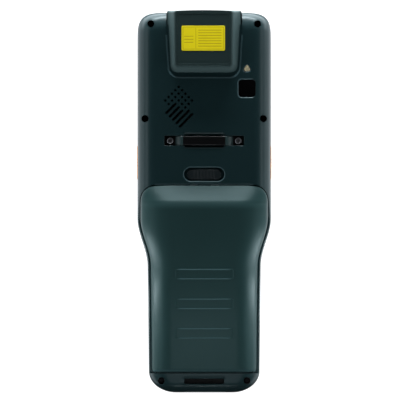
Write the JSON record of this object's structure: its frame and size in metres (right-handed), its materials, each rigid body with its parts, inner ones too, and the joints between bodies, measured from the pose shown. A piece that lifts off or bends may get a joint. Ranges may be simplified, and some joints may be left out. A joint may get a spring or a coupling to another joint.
{
  "type": "portable barcode data terminal",
  "caption": "Hand-held data terminal with a scan hood at the head, a screen and keypad in front, and a domed hinged battery cover that forms the grip.",
  "frame": {"origin": "on the plane of the rim round the screen, midway along and across the body, so the terminal lies on its screen with its back up", "axes": "+Z out of the back, +Y towards the scanning end, +X to the right when the back is seen with the scanning end up"},
  "size_m": [0.0708, 0.2008, 0.03],
  "materials": {
    "front_plastic": "matte",
    "rear_plastic": "matte",
    "hood_plastic": "matte",
    "cover_plastic": "matte",
    "scan_glass": "polished",
    "screen_glass": "polished",
    "black_glass": "polished",
    "lens_cream": "satin",
    "label_yellow": "satin",
    "strap_steel": "satin",
    "screw_steel": "satin",
    "screw_black": "satin",
    "pin_steel": "polished",
    "seal_rubber": "matte",
    "flap_rubber": "matte",
    "latch_plastic": "satin",
    "latch_steel": "satin",
    "battery_case": "satin",
    "connector_plastic": "satin",
    "trigger_orange": "satin",
    "switch_plastic": "satin",
    "display_stack": "satin",
    "frame_metal": "satin",
    "board_green": "satin",
    "dome_film": "satin",
    "shield_metal": "satin",
    "module_black": "matte",
    "mesh_fabric": "matte",
    "contact_gold": "polished",
    "key_plastic": "matte",
    "key_orange": "matte"
  },
  "bodies": {
    "terminal": {"front_housing": "front_plastic", "rear_housing": "rear_plastic", "shell_gasket": "seal_rubber", "scan_hood": "hood_plastic", "scan_window": "scan_glass", "hood_label": "label_yellow", "camera_window": "black_glass", "flash_lens": "lens_cream", "strap_bracket": "strap_steel", "strap_screws": "screw_steel", "housing_screws": "screw_black", "cover_hinge_pins": "pin_steel", "cover_seal": "seal_rubber", "battery_pack": "battery_case", "battery_connector": "connector_plastic", "trigger_switches": "switch_plastic", "display_window": "screen_glass", "display_module": "display_stack", "mid_frame": "frame_metal", "keypad_board": "board_green", "dome_sheet": "dome_film", "main_board": "board_green", "shield_cans": "shield_metal", "scan_engine": "module_black", "scan_engine_bracket": "latch_steel", "camera_module": "module_black", "speaker": "module_black", "speaker_mesh": "mesh_fabric", "receiver": "module_black", "vibration_motor": "pin_steel", "usb_port": "shield_metal", "dock_contacts": "contact_gold", "card_reader": "shield_metal"},
    "cover": {"battery_cover": "cover_plastic"},
    "latch": {"battery_latch": "latch_plastic", "latch_plate": "latch_steel"},
    "left_trigger": {"trigger_left": "trigger_orange"},
    "right_trigger": {"trigger_right": "trigger_orange"},
    "port_flap": {"port_cover": "flap_rubber"},
    "key_menu_body": {"key_menu": "key_plastic"},
    "key_up_body": {"key_up": "key_plastic"},
    "key_back_body": {"key_back": "key_plastic"},
    "key_left_body": {"key_left": "key_plastic"},
    "key_scan_body": {"key_scan": "key_orange"},
    "key_right_body": {"key_right": "key_plastic"},
    "key_power_body": {"key_power": "key_plastic"},
    "key_down_body": {"key_down": "key_plastic"},
    "key_enter_body": {"key_enter": "key_plastic"},
    "key_1_body": {"key_1": "key_plastic"},
    "key_2_body": {"key_2": "key_plastic"},
    "key_3_body": {"key_3": "key_plastic"},
    "key_4_body": {"key_4": "key_plastic"},
    "key_5_body": {"key_5": "key_plastic"},
    "key_6_body": {"key_6": "key_plastic"},
    "key_7_body": {"key_7": "key_plastic"},
    "key_8_body": {"key_8": "key_plastic"},
    "key_9_body": {"key_9": "key_plastic"},
    "key_point_body": {"key_point": "key_plastic"},
    "key_0_body": {"key_0": "key_plastic"},
    "key_clear_body": {"key_clear": "key_plastic"}
  },
  "joints": [
    {"name": "cover_hinge", "type": "hinge", "parent": "terminal", "child": "cover", "pos_m": [0, -0.0875, 0.0207], "axis": [1, 0, 0], "range_deg": [0, 45]},
    {"name": "latch_slide", "type": "slide", "parent": "terminal", "child": "latch", "axis": [1, 0, 0], "range_m": [-0.0015, 0.0015]},
    {"name": "trigger_left_press", "type": "slide", "parent": "terminal", "child": "left_trigger", "axis": [1, 0, 0], "range_m": [0, 0.0008], "stiffness_N_per_m": 1000},
    {"name": "trigger_right_press", "type": "slide", "parent": "terminal", "child": "right_trigger", "axis": [-1, 0, 0], "range_m": [0, 0.0008], "stiffness_N_per_m": 1000},
    {"name": "port_cover_hinge", "type": "hinge", "parent": "terminal", "child": "port_flap", "pos_m": [0, -0.0997, 0.00375], "axis": [1, 0, 0], "range_deg": [0, 90]},
    {"name": "key_menu_press", "type": "slide", "parent": "terminal", "child": "key_menu_body", "axis": [0, 0, 1], "range_m": [0, 0.0007], "stiffness_N_per_m": 1000},
    {"name": "key_up_press", "type": "slide", "parent": "terminal", "child": "key_up_body", "axis": [0, 0, 1], "range_m": [0, 0.0007], "stiffness_N_per_m": 1000},
    {"name": "key_back_press", "type": "slide", "parent": "terminal", "child": "key_back_body", "axis": [0, 0, 1], "range_m": [0, 0.0007], "stiffness_N_per_m": 1000},
    {"name": "key_left_press", "type": "slide", "parent": "terminal", "child": "key_left_body", "axis": [0, 0, 1], "range_m": [0, 0.0007], "stiffness_N_per_m": 1000},
    {"name": "key_scan_press", "type": "slide", "parent": "terminal", "child": "key_scan_body", "axis": [0, 0, 1], "range_m": [0, 0.0007], "stiffness_N_per_m": 1000},
    {"name": "key_right_press", "type": "slide", "parent": "terminal", "child": "key_right_body", "axis": [0, 0, 1], "range_m": [0, 0.0007], "stiffness_N_per_m": 1000},
    {"name": "key_power_press", "type": "slide", "parent": "terminal", "child": "key_power_body", "axis": [0, 0, 1], "range_m": [0, 0.0007], "stiffness_N_per_m": 1000},
    {"name": "key_down_press", "type": "slide", "parent": "terminal", "child": "key_down_body", "axis": [0, 0, 1], "range_m": [0, 0.0007], "stiffness_N_per_m": 1000},
    {"name": "key_enter_press", "type": "slide", "parent": "terminal", "child": "key_enter_body", "axis": [0, 0, 1], "range_m": [0, 0.0007], "stiffness_N_per_m": 1000},
    {"name": "key_1_press", "type": "slide", "parent": "terminal", "child": "key_1_body", "axis": [0, 0, 1], "range_m": [0, 0.0007], "stiffness_N_per_m": 1000},
    {"name": "key_2_press", "type": "slide", "parent": "terminal", "child": "key_2_body", "axis": [0, 0, 1], "range_m": [0, 0.0007], "stiffness_N_per_m": 1000},
    {"name": "key_3_press", "type": "slide", "parent": "terminal", "child": "key_3_body", "axis": [0, 0, 1], "range_m": [0, 0.0007], "stiffness_N_per_m": 1000},
    {"name": "key_4_press", "type": "slide", "parent": "terminal", "child": "key_4_body", "axis": [0, 0, 1], "range_m": [0, 0.0007], "stiffness_N_per_m": 1000},
    {"name": "key_5_press", "type": "slide", "parent": "terminal", "child": "key_5_body", "axis": [0, 0, 1], "range_m": [0, 0.0007], "stiffness_N_per_m": 1000},
    {"name": "key_6_press", "type": "slide", "parent": "terminal", "child": "key_6_body", "axis": [0, 0, 1], "range_m": [0, 0.0007], "stiffness_N_per_m": 1000},
    {"name": "key_7_press", "type": "slide", "parent": "terminal", "child": "key_7_body", "axis": [0, 0, 1], "range_m": [0, 0.0007], "stiffness_N_per_m": 1000},
    {"name": "key_8_press", "type": "slide", "parent": "terminal", "child": "key_8_body", "axis": [0, 0, 1], "range_m": [0, 0.0007], "stiffness_N_per_m": 1000},
    {"name": "key_9_press", "type": "slide", "parent": "terminal", "child": "key_9_body", "axis": [0, 0, 1], "range_m": [0, 0.0007], "stiffness_N_per_m": 1000},
    {"name": "key_point_press", "type": "slide", "parent": "terminal", "child": "key_point_body", "axis": [0, 0, 1], "range_m": [0, 0.0007], "stiffness_N_per_m": 1000},
    {"name": "key_0_press", "type": "slide", "parent": "terminal", "child": "key_0_body", "axis": [0, 0, 1], "range_m": [0, 0.0007], "stiffness_N_per_m": 1000},
    {"name": "key_clear_press", "type": "slide", "parent": "terminal", "child": "key_clear_body", "axis": [0, 0, 1], "range_m": [0, 0.0007], "stiffness_N_per_m": 1000}
  ]
}
